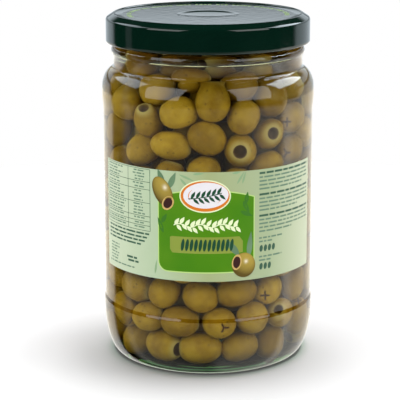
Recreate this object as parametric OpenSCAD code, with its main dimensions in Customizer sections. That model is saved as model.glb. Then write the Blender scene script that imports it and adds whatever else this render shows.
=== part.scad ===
// Twist-off glass jar, filled with pitted green olives in brine.
// Millimetres, +Z up, the jar stands on z = 0 round the Z axis and its label faces -Y.

/* [Glass jar] */
// Greatest diameter of the glass, at the heel ring and at the shoulder ring
jar_d = 118; // [117.5:0.5:126]
// Diameter of the label panel, which is set in between the two rings
panel_d = 116.8; // [112:0.2:117]
// Diameter of the neck below the bead
neck_d = 105; // [100:0.5:110]
// Diameter of the bead under the lid
bead_d = 107.2; // [106:0.2:110]
// Height of the bead's middle
bead_z = 172.3; // [171:0.1:172.5]
// Diameter that the jar stands on
foot_d = 98.8; // [90:0.2:104]
// Height of the sealing rim above the table
rim_z = 190.9; // [188:0.1:200]
// Thickness of the glass in the wall
wall = 2.8; // [2:0.1:4]
// Thickness of the glass in the base
base_t = 5; // [4:0.5:8]

/* [Heel and shoulder] */
// Height of the heel's curve
heel_h = 30; // [20:1:36]
// Squareness of the heel's curve, where 2 is an ellipse
heel_n = 2.18; // [2:0.02:3]
// Height of the heel ring's upper edge
heel_ring_z = 32; // [32:0.5:40]
// Height at which the panel starts to swell into the shoulder ring
swell_z = 139; // [125:1:142]
// Height at which the shoulder turns in
shoulder_z = 150.5; // [148:0.5:154]
// Height at which the neck starts
neck_z = 162.2; // [158:0.2:164]
// Rise of the push-up in the middle of the base
kick_h = 3.5; // [1:0.5:5]

/* [Lid] */
// Outer diameter of the lid's skirt
lid_d = 113; // [112:0.5:116]
// Height of the lid from the curl to the raised ring
lid_h = 15.7; // [14:0.1:18]
// Thickness of the lid's sheet
sheet = 0.4; // [0.3:0.05:0.6]
// Depth of the flat panel below the raised ring
panel_drop = 1; // [0.6:0.1:2]
// Diameter of the safety button
button_d = 34.6; // [28:0.2:40]

/* [Label] */
// Height of the label's lower edge
label_z = 54.6; // [40:0.2:60]
// Height of the label
label_h = 60.2; // [50:0.2:80]
// Half of the angle that the label covers round the panel
label_half = 70; // [45:1:85]
// Thickness of the paper
paper_t = 0.2; // [0.1:0.05:0.3]

/* [Contents] */
// Height of the brine's surface
brine_z = 182; // [176:1:186]
// Middle height of the heap's top
heap_z = 170; // [160:1:174]
// Gap between the heap and the glass
film = 1; // [0.8:0.1:2]
// Olives in one ring of the heap
ring_count = 16; // [12:1:18]
// Height of one layer of olives
layer_h = 18; // [15:0.5:22]
// Depth of the hollows between the olives
hollow = 4; // [2:0.5:6]

/* [Hidden] */
$fn = 96;

jar_r = jar_d / 2;
panel_r = panel_d / 2;
neck_r = neck_d / 2;
foot_r = foot_d / 2;

// Finish, the plain wall that the lid's skirt hides, and its lip
finish_r = neck_r - 0.9;
lip = 0.8;

// Bead under the lid, a rounded ring that runs into the neck below and the finish above
bead_round = 3.2;
bead_mid_r = bead_d / 2 - bead_round;
bead_low_a = -acos((neck_r - bead_mid_r) / bead_round);
bead_high_a = acos((finish_r - bead_mid_r) / bead_round);

// Shoulder, an ellipse that stops at shoulder_a and runs into the neck through a hollow fillet.
// The fillet's radius follows from the ellipse's normal there, at normal_a, and the neck's wall.
shoulder_a = 80;
shoulder_w = jar_r - neck_r;
shoulder_h = neck_z - shoulder_z;
normal_a = atan2(sin(shoulder_a) / shoulder_h, cos(shoulder_a) / shoulder_w);
fillet_r = shoulder_w * cos(shoulder_a) / (1 - cos(normal_a));
fillet_z = shoulder_z + shoulder_h * sin(shoulder_a) + fillet_r * sin(normal_a);

// Inside of the glass
floor_z = base_t;
inner_foot_r = foot_r - 5.4;
inner_r = panel_r - wall;
neck_in_r = neck_r - wall - 0.8;
inner_heel_z = heel_ring_z;
inner_shoulder_z = shoulder_z - 2;
inner_neck_z = neck_z + 2;

curve_steps = 14;

// A quarter of a superellipse from [r0, z0], where it is level, to [r1, z1], where it is upright
function rising_curve(r0, z0, r1, z1, n) = [
    for (i = [0:curve_steps])
    let (a = 90 * i / curve_steps)
    [r0 + (r1 - r0) * pow(sin(a), 2 / n), z1 + (z0 - z1) * pow(cos(a), 2 / n)]
];

// The shoulder from its ring, where it is upright, through the fillet to the neck
function shoulder_line() = concat(
    [
        for (i = [0:curve_steps])
        let (a = shoulder_a * i / curve_steps)
        [neck_r + shoulder_w * cos(a), shoulder_z + shoulder_h * sin(a)]
    ],
    arc(neck_r + fillet_r, fillet_z, fillet_r, 180 + normal_a, 180, 5)
);

// A swell that leaves [r0, z0] and reaches [r1, z1] upright at both ends
function swell(r0, z0, r1, z1, steps) = [
    for (i = [0:steps])
    let (a = 180 * i / steps)
    [r0 + (r1 - r0) * (1 - cos(a)) / 2, z0 + (z1 - z0) * i / steps]
];

// An arc of radius r about [cr, cz], from angle a0 to angle a1
function arc(cr, cz, r, a0, a1, steps) = [
    for (i = [0:steps])
    let (a = a0 + (a1 - a0) * i / steps)
    [cr + r * cos(a), cz + r * sin(a)]
];

// A dome that is z1 high at the axis and falls to z0 at radius r
function dome(r, z0, z1, steps) = [
    for (i = [0:steps])
    let (f = i / steps)
    [r * f, z0 + (z1 - z0) * (1 - f * f)]
];

function reversed(points) = [for (i = [len(points) - 1:-1:0]) points[i]];

// Inner wall of the glass from the middle of the floor up to height top
function inner_line(top) = concat(
    dome(inner_foot_r, floor_z, floor_z + kick_h, 6),
    [for (p = rising_curve(inner_foot_r, floor_z, inner_r, inner_heel_z, heel_n)) if (p[1] > floor_z) p],
    swell(inner_r, inner_shoulder_z, neck_in_r, inner_neck_z, curve_steps),
    [[neck_in_r, top]]
);

// Outer wall of the glass from the foot up to the lip
function outer_line() = concat(
    rising_curve(foot_r, 0, jar_r, heel_h, heel_n),
    [[jar_r, heel_ring_z], [panel_r, heel_ring_z + 0.9]],
    swell(panel_r, swell_z, jar_r, shoulder_z - 3, 8),
    shoulder_line(),
    arc(bead_mid_r, bead_z, bead_round, bead_low_a, bead_high_a, 12),
    arc(finish_r - lip, rim_z - lip, lip, 0, 90, 5)
);

module jar() {
    push_up = dome(foot_r - 4.5, 0, kick_h - 1, 6);
    color([0.80, 0.88, 0.82, 0.4])
    rotate_extrude()
    polygon(concat(
        push_up,
        outer_line(),
        arc(neck_in_r + lip, rim_z - lip, lip, 90, 180, 5),
        reversed(inner_line(brine_z))
    ));
}

// Pressed-steel lid: a flat panel with a sunk safety button, a raised ring, a skirt and a rolled curl
lid_r = lid_d / 2;
lid_top = rim_z + sheet + panel_drop;
lid_panel_z = rim_z + sheet;
lid_foot_z = lid_top - lid_h;
curl_r = 0.9;
corner_r = 1.8;
corner_drop = 1.7;
ring_r = lid_r - 4.2;
ring_round = 0.8;
button_r = button_d / 2;
button_rim_r = button_r - 4.6;
button_sink = 0.6;
button_dish = 0.5;

// The lid's surface from the axis to its corner, moved into the sheet by depth
function lid_line(depth) = concat(
    [
        for (p = dome(button_rim_r, -button_sink, -button_sink - button_dish, 5))
        [p[0], lid_panel_z + p[1] - depth]
    ],
    [[button_r, lid_panel_z - depth], [ring_r - 1.7, lid_panel_z - depth]],
    arc(ring_r, lid_top - ring_round, ring_round - depth, 165, 60, 8),
    arc(lid_r - corner_r, lid_top - corner_drop - corner_r, corner_r - depth, 62, 0, 8)
);

module lid() {
    // The curl runs round from the outside of the skirt until it meets the inside again
    curl_end = acos((curl_r - sheet) / curl_r) - 360;
    color([0.02, 0.14, 0.09])
    rotate_extrude()
    polygon(concat(
        lid_line(0),
        arc(lid_r - curl_r, lid_foot_z + curl_r, curl_r, 0, curl_end, 20),
        reversed(lid_line(sheet))
    ));
}

module label() {
    color([0.75, 0.84, 0.70])
    rotate([0, 0, -90 - label_half])
    rotate_extrude(angle = 2 * label_half)
    translate([panel_r, label_z])
    square([paper_t, label_h]);
}

module brine() {
    color([0.72, 0.66, 0.35, 0.5])
    difference() {
        rotate_extrude() polygon(concat(inner_line(brine_z), [[0, brine_z]]));
        heap();
    }
}

// Radius of the glass's inner wall at height z
function inner_radius(z) =
    z < inner_heel_z
    ? inner_foot_r + (inner_r - inner_foot_r)
        * pow(1 - pow(max(0, inner_heel_z - z) / (inner_heel_z - floor_z), heel_n), 1 / heel_n)
    : z < inner_shoulder_z
    ? inner_r
    : neck_in_r + (inner_r - neck_in_r)
        * (1 + cos(180 * min(1, (z - inner_shoulder_z) / (inner_neck_z - inner_shoulder_z)))) / 2;

// The heap of olives: rings of points up the side, bulging once for each olive, then in over the top.
side_per_layer = 3;
side_per_olive = 3;
round_steps = ring_count * side_per_olive;
heap_low_z = floor_z + 2;
layers = round((heap_z - heap_low_z) / layer_h);
side_rings = layers * side_per_layer;
cap_rings = 5;
floor_rings = 3;

// How far the side sinks in at a place round ring k, least at the middle of an olive
function side_hollow(k, i) =
    let (row = floor(k / side_per_layer))
    let (across = i / side_per_olive + row / 2)
    let (up = k / side_per_layer)
    let (bulge = abs(sin(180 * across) * sin(180 * up)))
    let (uneven = 0.75 + 0.25 * sin(131 * row + 77 * floor(across)))
    hollow * uneven * (1 - bulge);

// How far the top stands above or below its middle height
function top_bump(x, y) = 2.6 * sin(9.5 * x + 20) * cos(10.5 * y) + 1.4 * sin(5 * (x + y));

function turn_point(r, i, z) = [r * cos(360 * i / round_steps), r * sin(360 * i / round_steps), z];

floor_points = [
    for (k = [1:floor_rings], i = [0:round_steps - 1])
    let (f = k / (floor_rings + 1))
    turn_point(inner_foot_r * f, i, floor_z + kick_h * (1 - f * f) + film)
];

side_points = [
    for (k = [0:side_rings], i = [0:round_steps - 1])
    let (z = heap_low_z + (heap_z - heap_low_z) * k / side_rings)
    turn_point(inner_radius(z) - film - side_hollow(k, i), i, z)
];

cap_points = [
    for (k = [1:cap_rings], i = [0:round_steps - 1])
    let (f = 1 - k / (cap_rings + 1))
    let (p = turn_point((neck_in_r - film - hollow) * f, i, heap_z))
    p + [0, 0, 2.5 * sqrt(1 - f * f) + top_bump(p[0], p[1])]
];

heap_points = concat(
    [[0, 0, floor_z + kick_h + film]],
    floor_points,
    side_points,
    cap_points,
    [[0, 0, heap_z + 2.5 + top_bump(0, 0)]]
);

heap_rings = floor_rings + side_rings + 1 + cap_rings;
last_ring = 1 + (heap_rings - 1) * round_steps;

heap_faces = concat(
    [for (i = [0:round_steps - 1]) [0, 1 + i, 1 + (i + 1) % round_steps]],
    [
        for (k = [0:heap_rings - 2], i = [0:round_steps - 1])
        let (low = 1 + k * round_steps)
        let (next = (i + 1) % round_steps)
        each [
            [low + i, low + round_steps + i, low + next],
            [low + next, low + round_steps + i, low + round_steps + next]
        ]
    ],
    [for (i = [0:round_steps - 1]) [len(heap_points) - 1, last_ring + (i + 1) % round_steps, last_ring + i]]
);

module heap() {
    polyhedron(points = heap_points, faces = heap_faces);
}

module olives() {
    color([0.50, 0.41, 0.14]) heap();
}

jar();
lid();
label();
brine();
olives();
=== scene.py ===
import math

import bpy
import numpy as np
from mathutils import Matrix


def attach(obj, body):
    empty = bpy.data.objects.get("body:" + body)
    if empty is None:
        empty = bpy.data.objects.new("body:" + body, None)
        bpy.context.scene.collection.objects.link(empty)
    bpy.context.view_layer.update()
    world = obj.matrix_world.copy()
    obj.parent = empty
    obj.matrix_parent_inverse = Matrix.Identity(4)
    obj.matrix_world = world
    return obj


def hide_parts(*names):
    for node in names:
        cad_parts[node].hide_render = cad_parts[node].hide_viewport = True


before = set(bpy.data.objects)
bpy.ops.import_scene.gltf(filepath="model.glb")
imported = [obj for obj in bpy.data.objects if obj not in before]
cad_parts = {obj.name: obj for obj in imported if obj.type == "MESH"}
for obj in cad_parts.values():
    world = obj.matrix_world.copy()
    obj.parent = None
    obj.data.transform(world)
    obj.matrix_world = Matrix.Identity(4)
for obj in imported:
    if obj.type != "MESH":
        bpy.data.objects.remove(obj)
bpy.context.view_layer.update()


# Glass jar. A round food jar of faintly green glass, blown in a mould: a foot ring round a push-up,
# a full heel, a set-in panel for the label, a swelling shoulder, a neck and the bead under the lid.
# The wall is 2.8 mm thick and the base 5 mm, so the heel and the foot act as a lens.

MM = 0.001
jar_r = 59.0
panel_r = 58.4
neck_r = 52.5
foot_r = 49.4
heel_h = 30.0
heel_n = 2.18
heel_ring_z = 32.0
swell_z = 139.0
shoulder_z = 150.5
neck_z = 162.2
bead_z = 172.3
rim_z = 190.9
kick_h = 3.5
wall = 2.8
floor_z = 5.0
foot_ring = 4.5
lip = 0.8
push_up_steps = 12
brine_z = 182.0

inner_foot_r = foot_r - 5.4
inner_r = panel_r - wall
neck_in_r = neck_r - wall - 0.8
inner_shoulder_z = shoulder_z - 2
inner_neck_z = neck_z + 2


def arc(r_mid, z_mid, radius, start, end, steps):
    """Round arc: the middle plus radius times the cosine and sine of angles from start to end."""
    a = np.radians(np.linspace(start, end, steps + 1))
    return np.column_stack([r_mid + radius * np.cos(a), z_mid + radius * np.sin(a)])


def rising_curve(r0, z0, r1, z1, power, steps):
    """A quarter of a superellipse: level at (r0, z0), upright at (r1, z1)."""
    a = np.linspace(0, math.pi / 2, steps + 1)
    out = np.sin(a) ** (2 / power)
    up = 1 - np.clip(np.cos(a), 0, 1) ** (2 / power)
    return np.column_stack([r0 + (r1 - r0) * out, z0 + (z1 - z0) * up])


def swell(r0, z0, r1, z1, steps):
    """Half a cosine wave from r0 to r1, upright at both ends."""
    f = np.linspace(0, 1, steps + 1)
    return np.column_stack([r0 + (r1 - r0) * (1 - np.cos(math.pi * f)) / 2, z0 + (z1 - z0) * f])


def dome(r, z_edge, z_top, steps):
    """A parabola from z_top on the axis to z_edge at radius r."""
    f = np.linspace(0, 1, steps + 1)
    return np.column_stack([r * f, z_edge + (z_top - z_edge) * (1 - f * f)])


def upright(r, low, high, step=4.0):
    """Points between two heights at radius r, without the ends, so that long walls shade evenly."""
    number = int((high - low) / step) + 2
    z = np.linspace(low, high, number)[1:-1]
    return np.column_stack([0 * z + r, z])


def inner_line(top):
    """Inner wall of the glass, from the middle of its floor up to height top."""
    return np.vstack([
        dome(inner_foot_r, floor_z, floor_z + kick_h, push_up_steps),
        rising_curve(inner_foot_r, floor_z, inner_r, heel_ring_z, heel_n, 28)[1:],
        upright(inner_r, heel_ring_z, inner_shoulder_z),
        swell(inner_r, inner_shoulder_z, neck_in_r, inner_neck_z, 20),
        upright(neck_in_r, inner_neck_z, top),
        [[neck_in_r, top]],
    ])


def outer_line():
    """Outer wall of the glass, from the foot up to the lip: heel, rings, shoulder, fillet, neck, bead."""
    turn_in = 80.0
    shoulder_w = jar_r - neck_r
    shoulder_h = neck_z - shoulder_z
    cos_in = math.cos(math.radians(turn_in))
    sin_in = math.sin(math.radians(turn_in))
    normal = math.degrees(math.atan2(sin_in / shoulder_h, cos_in / shoulder_w))
    fillet = shoulder_w * cos_in / (1 - math.cos(math.radians(normal)))
    fillet_z = shoulder_z + shoulder_h * sin_in + fillet * math.sin(math.radians(normal))
    a = np.radians(np.linspace(0, turn_in, 25))
    shoulder = np.column_stack([neck_r + shoulder_w * np.cos(a), shoulder_z + shoulder_h * np.sin(a)])
    bead, bead_r = 3.2, 53.6
    bead_mid = bead_r - bead
    finish_r = neck_r - 0.9
    low = -math.degrees(math.acos((neck_r - bead_mid) / bead))
    high = math.degrees(math.acos((finish_r - bead_mid) / bead))
    return np.vstack([
        rising_curve(foot_r, 0, jar_r, heel_h, heel_n, 32),
        swell(jar_r, heel_ring_z - 0.8, panel_r, heel_ring_z + 1.6, 10),
        upright(panel_r, heel_ring_z + 1.6, swell_z),
        swell(panel_r, swell_z, jar_r, shoulder_z - 3, 16),
        shoulder,
        arc(neck_r + fillet, fillet_z, fillet, 180 + normal, 180, 8)[1:],
        arc(bead_mid, bead_z, bead, low, high, 20),
        arc(finish_r - lip, rim_z - lip, lip, 0, 90, 6),
    ])


def ring_quads(rings, segments):
    """Faces between neighbouring rings of points. The points are numbered ring after ring."""
    i = np.arange(segments)
    j = (i + 1) % segments
    k = np.arange(rings - 1)[:, None] * segments
    return np.stack([k + i, k + j, k + segments + j, k + segments + i], axis=-1).reshape(-1, 4)


def turned(name, outline, segments=192):
    """A turned body: each point (r, z) of an outline goes round the axis, x = r sin t, y = -r cos t.
    The outline starts and ends on the axis, and those two points close the body as poles."""
    r, z = (outline * MM).T
    t = np.linspace(0, 2 * math.pi, segments, endpoint=False)
    ring_r = r[1:-1, None]
    points = np.stack([ring_r * np.sin(t), -ring_r * np.cos(t), z[1:-1, None] + 0 * t], axis=-1)
    points = np.vstack([points.reshape(-1, 3), [[0, 0, z[0]], [0, 0, z[-1]]]])
    rings = len(r) - 2
    i = np.arange(segments)
    j = (i + 1) % segments
    last = (rings - 1) * segments
    low_pole, high_pole = rings * segments, rings * segments + 1
    first_fan = np.column_stack([np.full(segments, low_pole), j, i])
    last_fan = np.column_stack([np.full(segments, high_pole), last + i, last + j])
    return meshed(name, points, ring_quads(rings, segments).tolist() + first_fan.tolist() + last_fan.tolist())


def meshed(name, points, faces, smooth_below=50):
    """A mesh object from points in metres, smooth except at edges sharper than smooth_below degrees."""
    mesh = bpy.data.meshes.new(name)
    mesh.from_pydata(np.asarray(points).tolist(), [], faces)
    mesh.validate()
    mesh.shade_smooth()
    mesh.set_sharp_from_angle(angle=math.radians(smooth_below))
    piece = bpy.data.objects.new(name, mesh)
    bpy.context.collection.objects.link(piece)
    return piece


class Nodes:
    """The nodes of one material, or of the world."""

    def __init__(self, tree):
        self.tree = tree
        tree.nodes.clear()

    def fill(self, socket, value):
        """Links an input to a node or one of its outputs, or sets it to a number or a plain colour."""
        if isinstance(value, bpy.types.Node):
            value = value.outputs[0]
        if isinstance(value, bpy.types.NodeSocket):
            self.tree.links.new(value, socket)
        else:
            socket.default_value = (*value, 1) if socket.type == "RGBA" else value

    def add(self, kind, *values, **named):
        """A new node. Values fill its inputs in their order, and names with a capital fill the inputs
        of that name; names in small letters are the node's own settings."""
        node = self.tree.nodes.new("ShaderNode" + kind)
        for socket, value in zip(node.inputs, values):
            self.fill(socket, value)
        for key, value in named.items():
            if key.islower():
                setattr(node, key, value)
            else:
                self.fill(node.inputs[key.replace("_", " ")], value)
        return node

    def place(self):
        """The place in the piece's own frame, in metres."""
        return self.add("TexCoord").outputs["Object"]

    def texture(self, kind, scale, **named):
        """A texture in the piece's own frame, its scale the number of cells to the metre."""
        return self.add("Tex" + kind, Vector=self.place(), Scale=scale, **named)

    def surface(self, **named):
        """Gives the material a principled shader with the named inputs."""
        self.add("OutputMaterial", Surface=self.add("BsdfPrincipled", **named))

    def mixed(self, factor, under, over, blend_type="MIX"):
        """The colour of one colour laid over another by a factor."""
        mix = self.add("Mix", data_type="RGBA", blend_type=blend_type)
        for number, value in ((0, factor), (6, under), (7, over)):
            self.fill(mix.inputs[number], value)
        return mix.outputs[2]

    def shades(self, factor, *stops):
        """A colour that runs through the stops, each a place from 0 to 1 and a colour."""
        ramp = self.add("ValToRGB", Fac=factor)
        elements = ramp.color_ramp.elements
        elements[0].position, elements[1].position = stops[0][0], stops[-1][0]
        for at, _ in stops[1:-1]:
            elements.new(at)
        for element, (_, colour) in zip(elements, stops):
            element.color = (*colour, 1)
        return ramp

    def step(self, value, low, high, to_low=0.0, to_high=1.0, **settings):
        """A value that runs from to_low to to_high as another goes from low to high."""
        return self.add("MapRange", value, low, high, to_low, to_high, **settings)

    def maths(self, operation, *values):
        """The result of a sum or function of values."""
        return self.add("Math", *values, operation=operation)


def new_material(name):
    """A material and its nodes, still empty."""
    material = bpy.data.materials.new(name)
    material.use_nodes = True
    return material, Nodes(material.node_tree)


def clear_material(name, ior, tint, shadow_tint, ripple=0.0, body=None):
    """Clear glass or water. Shadow rays and diffuse rays pass straight through with a slight tint,
    so that what is inside gets the studio's light; all other rays reflect and refract. A body colour
    darkens long ways through it: light falls by exp(-25 (1 - colour) metres)."""
    material, nodes = new_material(name)
    glass = nodes.add("BsdfPrincipled", Base_Color=tint, Roughness=0.0, IOR=ior, Transmission_Weight=1.0)
    if ripple:
        stretch = nodes.add("Mapping", Vector=nodes.place(), Scale=(1, 1, 0.6))
        waves = nodes.add("TexNoise", Vector=stretch, Scale=70.0, Detail=1.0)
        bump = nodes.add("Bump", Height=waves, Strength=ripple, Distance=0.001)
        nodes.fill(glass.inputs["Normal"], bump)
    path = nodes.add("LightPath")
    through = nodes.add("BsdfTransparent", Color=shadow_tint)
    lit = nodes.add("MixShader", path.outputs["Is Diffuse Ray"], glass, through)
    shaded = nodes.add("MixShader", path.outputs["Is Shadow Ray"], lit, through)
    end = nodes.add("OutputMaterial", Surface=shaded)
    if body:
        nodes.fill(end.inputs["Volume"], nodes.add("VolumeAbsorption", Color=body, Density=25.0))
    return material, nodes, glass, through


def face_vectors(piece, kind):
    """A vector for each face of a piece, its center or its normal."""
    vectors = np.empty(len(piece.data.polygons) * 3)
    piece.data.polygons.foreach_get(kind, vectors)
    return vectors.reshape(-1, 3)


glass_ior = 1.5
bottle_green = (0.18, 0.52, 0.22)
brine_ior = 1.34
lip_line = arc(neck_in_r + lip, rim_z - lip, lip, 90, 180, 6)
push_up = dome(foot_r - foot_ring, 0, kick_h - 1, push_up_steps)
jar = turned("jar_glass", np.vstack([push_up, outer_line(), lip_line, inner_line(brine_z)[::-1]]), 256)

# Zones of the glass: the inner wall that the brine wets, the foot, and bands on the outside, at the
# ledge under the label and where the neck and the bead turn, tinted amber as a painted shade for dark lines
inside_z = 4.6
foot_zone_z = 3.2
near_wall = 0.8
band_out_r = 50
shade_bands = ((32.4, 0.85), (169.5, 0.55), (166.4, 0.3), (164.2, 0.3), (174.6, 0.6))
face_mid = face_vectors(jar, "center")
face_z = face_mid[:, 2]
level_r = np.hypot(face_mid[:, 0], face_mid[:, 1])
inner_wall = inner_line(brine_z)[push_up_steps + 1:, ::-1] * MM
wall_in = np.interp(face_z, *inner_wall.T) + near_wall * MM
wetted = (face_z < brine_z * MM - 1e-5) & (level_r < wall_in)
wetted |= (level_r < inner_foot_r * MM) & (face_vectors(jar, "normal")[:, 2] > 0)
wetted &= face_z > inside_z * MM
foot = ~wetted & (face_z < foot_zone_z * MM)
# Bands of painted shade, tinted amber in the glass's colour
shade_banded = sum(np.abs(face_z - band_z * MM) < half_w * MM for band_z, half_w in shade_bands) > 0
shade_banded &= ~wetted & (level_r > band_out_r * MM)
zones = jar.data.attributes.new("zone", "FLOAT_COLOR", "FACE")
zones.data.foreach_set("color", np.column_stack([wetted, foot, shade_banded, 0 * foot]).astype(float).ravel())


def glass_material():
    """Bottle glass. The wetted wall bends light by the ratio of the glass's index to the brine's. The
    foot is tinted a darker green, partly for thick glass and partly a painted shade for the dark seen
    through the base, and lets little light through, so that it shades the table; the bands are tinted
    amber, a painted shade for dark lines."""
    material, nodes, glass, through = clear_material(
        "bottle_glass", glass_ior, (1, 1, 1), (1, 1, 1), 0.06, bottle_green)
    zone = nodes.add("Attribute", attribute_name="zone")
    wet, at_foot, at_shade_band = nodes.add("SeparateColor", Color=zone.outputs["Color"]).outputs
    nodes.fill(glass.inputs["IOR"], nodes.step(wet, 0, 1, glass_ior, glass_ior / brine_ior))
    # Painted shade in the glass's colour: the foot darker green and the bands amber. The foot's shadow colour
    # is dark, so that it shades the table
    for socket, plain, foot_shade_colour, shade_band_colour in (
        (glass.inputs["Base Color"], (0.98, 0.99, 0.97), (0.45, 0.58, 0.42), (0.54, 0.37, 0.05)),
        (through.inputs["Color"], (0.98, 0.99, 0.98), (0.10, 0.12, 0.10), (0.90, 0.90, 0.85)),
    ):
        nodes.fill(socket, nodes.mixed(at_shade_band, nodes.mixed(at_foot, plain, foot_shade_colour), shade_band_colour))
    return material


jar.data.materials.append(glass_material())
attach(jar, "root")
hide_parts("jar")


# Brine. Salt water, a clear pale yellow-green, that fills the jar to 9 mm under its rim.
# Its side reaches a quarter of a millimetre into the glass, so that no air shows between them;
# the bending of light from glass to brine is in the glass's own wetted wall.

reach_in = 0.25
brine_line = inner_line(brine_z)
along = np.gradient(brine_line, axis=0)
outward = np.column_stack([along[:, 1], -along[:, 0]]) / np.hypot(*along.T)[:, None]
outward[0] = [0, -1]
outward[-1] = [1, 0]
brine_side = brine_line + reach_in * outward
brine_top = np.column_stack([np.linspace(neck_in_r + reach_in, 0, 9), np.full(9, brine_z)])
brine = turned("brine_water", np.vstack([brine_side, brine_top[1:]]), 192)
brine.data.materials.append(clear_material("brine_clear", 1.0, (0.95, 0.92, 0.66), (0.97, 0.96, 0.86))[0])
brine.data.materials.append(clear_material("brine_surface", brine_ior, (1, 1, 0.97), (1, 1, 1))[0])
top_faces = face_vectors(brine, "center")[:, 2] > (brine_z - 0.01) * MM
brine.data.polygons.foreach_set("material_index", top_faces.astype(np.int32))
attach(brine, "root")
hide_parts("brine")


# Olives. 257 pitted green olives, packed loosely and pressed against the glass. Each is an
# egg of soft flesh, 15.5 to 18.5 mm thick and 18 to 22.5 mm long, with a round hole where the stone
# was pushed out; many have a cross- or Y-shaped cut at the other end. Those at the wall are finer.

draw = np.random.default_rng(7)

# Olives that show at the front: angle round the jar, height, thickness, length, swing, lean, cut,
# where swing turns the hole's end from rightwards to outwards and lean raises it
front_olives = [
    (3, 147.2, 17.8, 18.2, -80, 60, 0), (-20, 144, 16.5, 20.0, -42, 8, 0),
    (19, 142, 17.0, 19.5, -62, 42, 0), (2, 131, 18.5, 21.0, -38, -36, 0),
    (-22, 127, 16.0, 22.0, -22, -6, 0), (-41, 138, 15.5, 20.0, 78, 52, 0),
    (40, 133, 17.0, 19.5, 103, 7, 0), (22, 123, 17.5, 19.0, 110, 4, 0),
    (61, 138, 17.0, 20.5, -24, 6, 4), (62, 121, 17.0, 20.0, -26, 0, 3),
    (-45, 121, 16.5, 20.0, -60, 30, 0), (-62, 147, 17.0, 20.0, 165, -10, 0),
    (-32, 153, 17.0, 20.0, -48, 18, 0), (42, 149, 18.0, 20.5, -55, -30, 0),
    (68, 152, 16.5, 20.0, 62, 12, 0), (-3, 113, 17.0, 20.5, -75, 20, 0),
    (-26, 110, 17.0, 20.0, -60, 70, 0), (39, 115, 17.0, 20.5, -20, 12, 0),
    (-11, 161, 17.0, 20.5, -30, -10, 0), (22, 160, 17.0, 20.0, -140, -12, 0),
    (-71, 129, 17.0, 20.0, -90, 65, 0), (80, 127, 16.5, 20.0, -90, 30, 4),
    (-65, 113, 17.0, 20.0, -70, 60, 3), (-54, 44, 17.0, 19.5, -18, -12, 0),
    (-27, 44, 17.0, 19.5, -70, 40, 0), (-14, 53, 16.5, 20.0, -60, 15, 0),
    (-5, 40, 17.5, 19.5, -50, -35, 0), (16, 45, 16.5, 22.0, -160, -10, 0),
    (41, 44, 16.0, 19.5, -45, 12, 4), (66, 44, 16.5, 20.0, -20, 62, 0),
    (-43, 26, 16.5, 19.5, -30, 12, 0), (-19, 28, 17.5, 20.5, -28, -4, 0),
    (6, 29, 17.0, 19.0, -102, 6, 3), (26, 31, 17.5, 19.5, -60, -40, 0),
    (51, 30, 16.5, 19.0, 135, 20, 0), (70, 23, 16.5, 22.0, -48, -62, 4),
    (-58, 14, 16.5, 20.0, -50, 50, 0), (-33, 12, 17.0, 20.5, 14, -4, 0),
    (-4, 12, 17.0, 22.5, -168, -4, 0), (23, 12, 17.0, 20.5, -20, 6, 0),
    (46, 13, 16.5, 19.5, -50, 48, 0), (-74, 34, 16.5, 20.0, -60, 15, 3),
    (-86, 49, 16.5, 20.0, -90, 60, 0), (-83, 17, 16.5, 20.0, -90, 50, 0),
]
front = np.array(front_olives, dtype=float)

per_ring, layer, wall_layers = 16, 15.8, 10
ring, place = np.divmod(np.arange(per_ring * wall_layers), per_ring)
ring_angle = (place + 0.5 * (ring % 2)) * 360 / per_ring - 180 + draw.uniform(-3, 3, len(ring))
ring_z = 15 + layer * ring + draw.uniform(-2, 2, len(ring))
mm_per_degree = 0.8
own_room = 11.5
gap = np.abs((ring_angle[:, None] - front[:, 0] + 180) % 360 - 180) * mm_per_degree
crowded = np.hypot(gap, ring_z[:, None] - front[:, 1]).min(axis=1) < own_room
ring_angle, ring_z = ring_angle[~crowded], ring_z[~crowded]

inner_per_ring, inner_layers = 10, 10
inner_ring, inner_place = np.divmod(np.arange(inner_per_ring * inner_layers), inner_per_ring)
inner_angle = (inner_place + 0.5 * (inner_ring % 2)) * 360 / inner_per_ring
inner_angle += draw.uniform(-6, 6, len(inner_ring))
inner_z = 19 + layer * inner_ring + draw.uniform(-2, 2, len(inner_ring))

angle = np.radians(np.concatenate([front[:, 0], ring_angle, inner_angle]))
height = np.concatenate([front[:, 1], ring_z, inner_z])
count = len(angle)
at_front = np.arange(count) < len(front)
at_wall = np.arange(count) < len(front) + len(ring_angle)
half_thick = np.concatenate([front[:, 2] / 2, draw.uniform(8.1, 8.8, count - len(front))])
half_long = np.concatenate([front[:, 3] / 2, draw.uniform(9.5, 10.7, count - len(front))])
swing = np.radians(np.concatenate([front[:, 4], draw.uniform(0, 360, count - len(front))]))
lean = np.concatenate([np.radians(front[:, 5]), np.arcsin(draw.uniform(-0.9, 0.9, count - len(front)))])
cut_arms = np.concatenate([front[:, 6], draw.choice([0, 0, 3, 4], count - len(front))])

# Each olive's long axis, from its cut end to its hole, in directions rightwards, outwards and up
right = np.column_stack([np.cos(angle), np.sin(angle), 0 * angle])
out = np.column_stack([np.sin(angle), -np.cos(angle), 0 * angle])
up = np.array([0.0, 0.0, 1.0])
axis = (np.cos(lean) * np.cos(swing))[:, None] * right + (np.cos(lean) * np.sin(swing))[:, None] * out
axis += np.sin(lean)[:, None] * up
facing = (axis * out).sum(axis=1)
depth = np.sqrt((half_long * facing) ** 2 + half_thick ** 2 * (1 - facing ** 2))

# Dense points of the glass's inner wall, and how far out an olive's middle can sit at a height
fine = inner_line(brine_z)
fine_step = np.concatenate([[0], np.cumsum(np.hypot(*np.diff(fine, axis=0).T))])
fine_at = np.arange(0, fine_step[-1], 0.5)
fine = np.column_stack([np.interp(fine_at, fine_step, fine[:, 0]), np.interp(fine_at, fine_step, fine[:, 1])])
film = 0.35
core_r = 21.0
off_core = 6.5
inner_start_r = 29.5
top_z = 176.0
floor_gap = 0.15


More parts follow.
